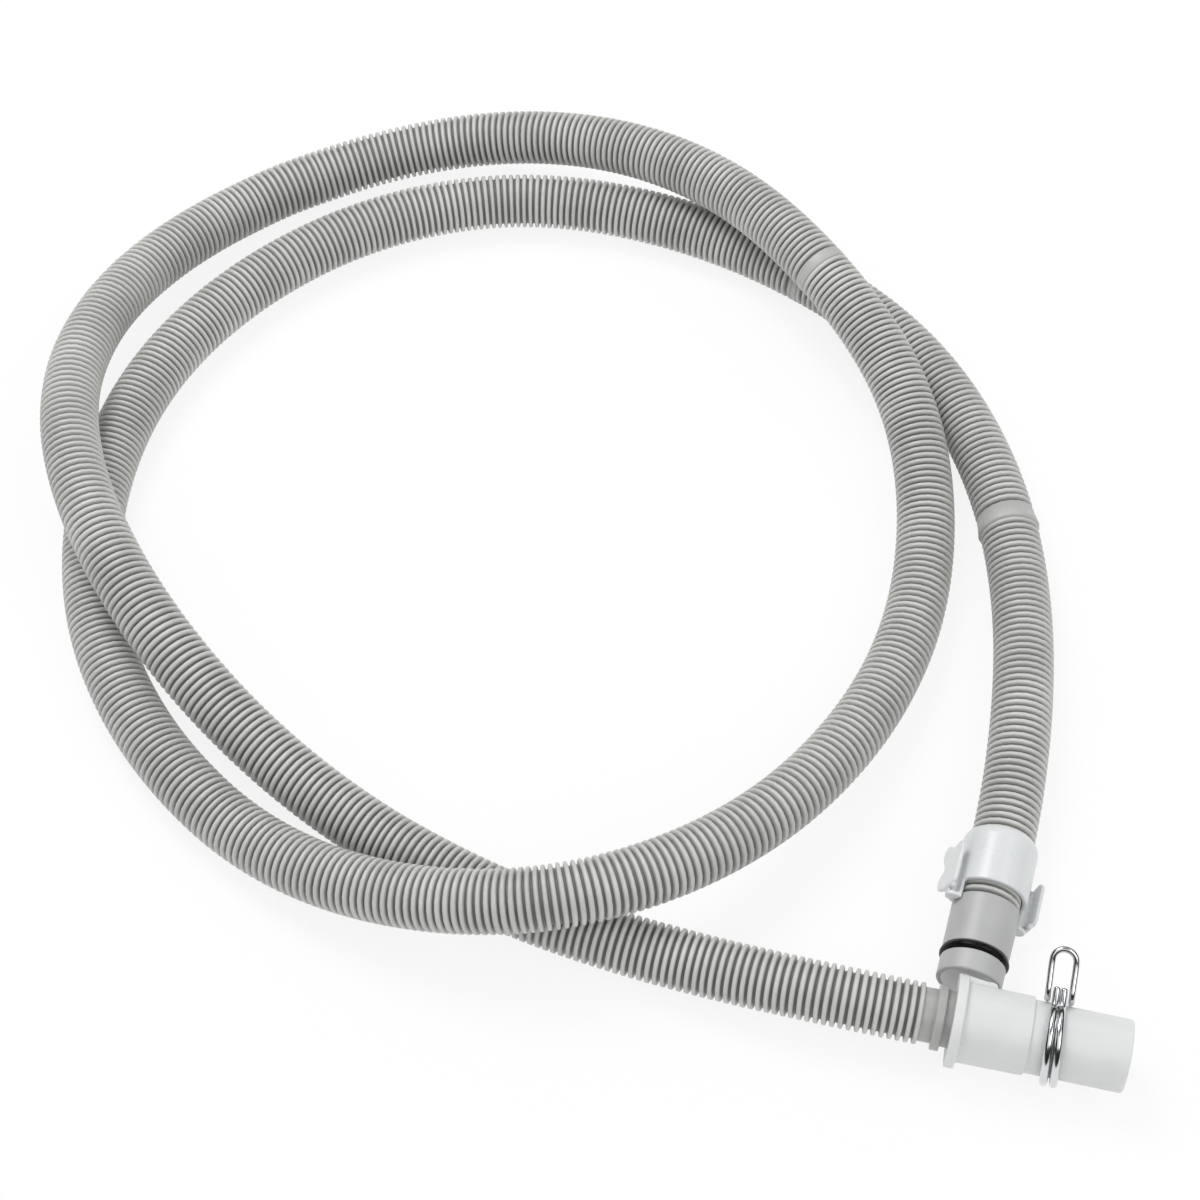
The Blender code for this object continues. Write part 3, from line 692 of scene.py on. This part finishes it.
def makeAdapter():
    size = adapter
    end = size["length"]
    outline = [(size["tail"], end, 1.6), (size["tail"], size["bodyEnd"] + size["stepRun"], 0.5),
               (size["body"] - size["draft"], size["bodyEnd"], 1.3),
               (size["body"], size["flangeThickness"], 0.5),
               (size["flange"], size["flangeThickness"], 0.6), (size["flange"], 0.0, 0.6),
               (size["bore"], 0.0, 0.4), (size["bore"], size["boreDepth"], 0.1),
               (size["tailBore"], size["boreDepth"] + size["boreTaper"], 0.1),
               (size["tailBore"], end, 0.7)]
    body = turnedMesh("adapterBody", outline, adapterFrame)
    lug = moulded("adapterLug", [lugShell()], size["lugCell"], size["lugSmoothing"])
    lug.transform(adapterFrame @ Matrix.Scale(mm, 4))
    shape = bmesh.new()
    shape.from_mesh(body)
    shape.from_mesh(lug)
    shape.to_mesh(body)
    shape.free()
    look = plasticLook("adapterMilky", size)
    return addPiece("adapterBody", body, look, "sink_adapter")


# the spring clamp: two turns of wire round the adapter's tail, bent into a loop and two tips
clamp = {
    "wire": 1.2,
    "stouter": [(0.42, 1.0), (0.62, 1.3), (0.86, 1.3), (1.0, 1.1)],  # (way from loop to tip,
                                                                      # share of the radius)
    "turn": 15.42, "turnSteps": 41, "place": 38.2, "lean": 0.09, "sides": 30, "perSpan": 8,
    "tipSpread": 1.35, "tipSettles": 0.25, "frontSpread": 1.84, "loopLeaves": 0.55,
    "loopSpread": 4.4,
    "tipAngle": 28.0, "tipReach": 20.6, "tipBends": (14.0, 9.0, 3.5),
    "loopAngle": 52.0, "loopReach": 34.6, "loopBends": (3.5, 6.0, 3.0), "loopSteps": 9,
    "bendStart": 0.6, "bendRise": 2.4,
    "tipRound": [8.0, 30.0, 55.0, 78.0], "tipLength": 0.7,
    "pale": (0.67, 0.677, 0.69), "deep": (0.72, 0.725, 0.735),
}


def ease(share):
    return share * share * (3.0 - 2.0 * share)


def clampHalf():
    # from the tip round the front, below and up the far side to the loop:
    # (angle from the top, radius, along)
    size = clamp
    reaches = (size["tipReach"], size["turn"] + size["bendRise"], size["turn"] + size["bendStart"])
    half = [(size["tipAngle"] + bend, reach, size["tipSpread"])
            for bend, reach in zip(size["tipBends"], reaches)]
    sweep = 360.0 - size["loopAngle"] + size["tipAngle"]
    for share in np.linspace(0.0, 1.0, size["turnSteps"]):
        settled = ease(min(share / size["tipSettles"], 1.0))
        leaving = ease(max((share - size["loopLeaves"]) / (1.0 - size["loopLeaves"]), 0.0))
        spread = size["tipSpread"] + (size["frontSpread"] - size["tipSpread"]) * settled
        spread += (size["loopSpread"] - size["frontSpread"]) * leaving
        half.append((size["tipAngle"] - sweep * share, size["turn"], spread))
    bendStart = size["loopReach"] - size["loopSpread"]
    reaches = (size["turn"] + size["bendStart"], size["turn"] + size["bendRise"],
               (size["turn"] + bendStart) / 2)
    half += [(size["loopAngle"] - bend, reach, size["loopSpread"])
             for bend, reach in zip(size["loopBends"], reaches)]
    for turn in np.linspace(0.0, math.pi / 2, size["loopSteps"]):
        half.append((size["loopAngle"], bendStart + size["loopSpread"] * math.sin(turn),
                     size["loopSpread"] * math.cos(turn)))
    return [(radius * math.sin(math.radians(angle)), radius * math.cos(math.radians(angle)), along)
            for angle, radius, along in half]


def chromeLook():
    look = Finish("clampChrome")
    cloud = look.noise(180.0, 3.0, 0.6)
    base = look.blend(look.fit(cloud, 0.35, 0.7), clamp["deep"], clamp["pale"])
    return look.paint({"Base Color": base, "Roughness": look.fit(cloud, 0.3, 0.7, 0.17, 0.2),
                       "Metallic": 1.0})


def makeClamp():
    half = clampHalf()
    whole = half + [(x, y, -z) for x, y, z in reversed(half[:-1])]
    leaned = [adapterFrame @ (Vector((x, y, z - clamp["lean"] * y + clamp["place"])) * mm)
              for x, y, z in whole]
    run = smoothRun(np.array([tuple(point) for point in leaned]), clamp["perSpan"])
    radius = clamp["wire"] * mm
    first = (run[0] - run[1]) / np.linalg.norm(run[0] - run[1])
    last = (run[-1] - run[-2]) / np.linalg.norm(run[-1] - run[-2])
    tips = np.radians(clamp["tipRound"])
    reach = radius * clamp["tipLength"]
    centres = [run[0] + first * reach * math.cos(turn) for turn in tips] + list(run)
    centres += [run[-1] + last * reach * math.cos(turn) for turn in reversed(tips)]
    fromLoop = np.abs(np.linspace(-1.0, 1.0, len(run)))
    body = radius * np.interp(fromLoop, *zip(*clamp["stouter"]))
    ends = [body[0] * math.sin(turn) for turn in tips]
    radii = np.array(ends + list(body) + ends[::-1])
    mesh = tubeMesh("clampWire", np.array(centres), radii, clamp["sides"])
    return addPiece("clampWire", mesh, chromeLook(), "spring_clamp")


hoseRibs, hosePath, hoseLength = makeHose()
makeSpigot()
makeSeal()
makeClip()
cuffBody = makeCuff()
adapterBody = makeAdapter()
clampWire = makeClamp()
print("stage: hose", round(hoseLength, 4), "m long")


# the floor, the room, the lamps, and the cards, each (name, place, size, shade, look down)
studio = {
    "floorHalf": 6.0,
    "floorDrop": 0.0004,
    "floorShade": 0.90,
    "showWhite": 0.86,          # share of plain white in what the camera sees of the floor
    "room": 0.66,
    "lamps": [("keyLamp", (-0.55, 0.65, 1.55), 0.9, 14.0),
              ("fillLamp", (0.9, -0.8, 1.3), 1.2, 6.0)],
    "cards": [("leftCard", (-1.3, -0.1, 0.75), (3.2, 1.5), 0.02, 0.0),
              ("rightCard", (1.6, -0.1, 0.8), (3.2, 1.6), 0.02, 0.0),
              ("farCard", (0.1, 1.6, 0.75), (3.0, 1.5), 0.02, 0.0),
              ("nearCard", (0.2, -1.7, 0.85), (3.0, 1.7), 0.02, 0.0),
              ("topCard", (0.1, 0.35, 2.3), (2.2, 1.9), 0.16, -10.0)],
}


def plainlySeen(book):
    # 1 for what the camera sees itself, or in metal or through glass
    rays = ("Is Camera Ray", "Is Glossy Ray", "Is Transmission Ray")
    seen, glossy, through = (book.add("ShaderNodeLightPath", output=ray) for ray in rays)
    return seen.most(glossy).most(through)


def addPlane(name, wide, high):
    mesh = bpy.data.meshes.new(name)
    mesh.from_pydata([(-wide, -high, 0), (wide, -high, 0), (wide, high, 0), (-wide, high, 0)],
                     [], [(0, 1, 2, 3)])
    made = bpy.data.objects.new(name, mesh)
    bpy.context.scene.collection.objects.link(made)
    return made


def makeFloor():
    floor = addPlane("floor", studio["floorHalf"], studio["floorHalf"])
    floor.location.z = -studio["floorDrop"]
    look = Finish("floorPaper")
    look.paint({"Base Color": (studio["floorShade"],) * 3, "Roughness": 0.9})
    paper = Signal(look, look.shader.outputs[0])
    glow = look.add("ShaderNodeEmission", {}, {"Color": (1.0, 1.0, 1.0), "Strength": 1.0})
    share = plainlySeen(look) * studio["showWhite"]
    look.show(look.add("ShaderNodeMixShader", {}, {0: share, 1: paper, 2: glow}))
    floor.data.materials.append(look.material)


def makeLamp(name, place, size, power):
    data = bpy.data.lights.new(name, "AREA")
    data.shape = "DISK"
    data.size = size
    data.energy = power
    lamp = bpy.data.objects.new(name, data)
    bpy.context.scene.collection.objects.link(lamp)
    lamp.location = place
    lamp.rotation_euler = (-Vector(place)).to_track_quat("-Z", "Y").to_euler()


def makeCard(name, place, size, shade, lookDown):
    # a dark card that only glossy surfaces mirror, as a photographer sets up for chrome
    card = addPlane(name, size[0] / 2, size[1] / 2)
    card.location = place
    facing = Vector((-place[0], -place[1], lookDown))
    card.rotation_euler = facing.to_track_quat("Z", "Y").to_euler()
    card.visible_camera = False
    card.visible_diffuse = False
    card.visible_shadow = False
    card.visible_transmission = False
    card.data.materials.append(Finish(name).paint(
        {"Base Color": (shade,) * 3, "Roughness": 1.0, "Specular IOR Level": 0.0}))


def makeWorld():
    world = bpy.data.worlds.new("paleRoom")
    bpy.context.scene.world = world
    world.use_nodes = True
    world.node_tree.nodes.clear()
    room = Book(world.node_tree, "ShaderNodeOutputWorld")
    white = {"Color": (1.0, 1.0, 1.0), "Strength": 1.0}
    lit = room.add("ShaderNodeBackground", {}, {**white, "Strength": studio["room"]})
    plain = room.add("ShaderNodeBackground", {}, white)
    room.show(room.add("ShaderNodeMixShader", {}, {0: plainlySeen(room), 1: lit, 2: plain}))


makeFloor()
for lamp in studio["lamps"]:
    makeLamp(*lamp)
for card in studio["cards"]:
    makeCard(*card)
makeWorld()
bpy.context.scene.view_settings.view_transform = "Standard"
print("stage: floor and light")
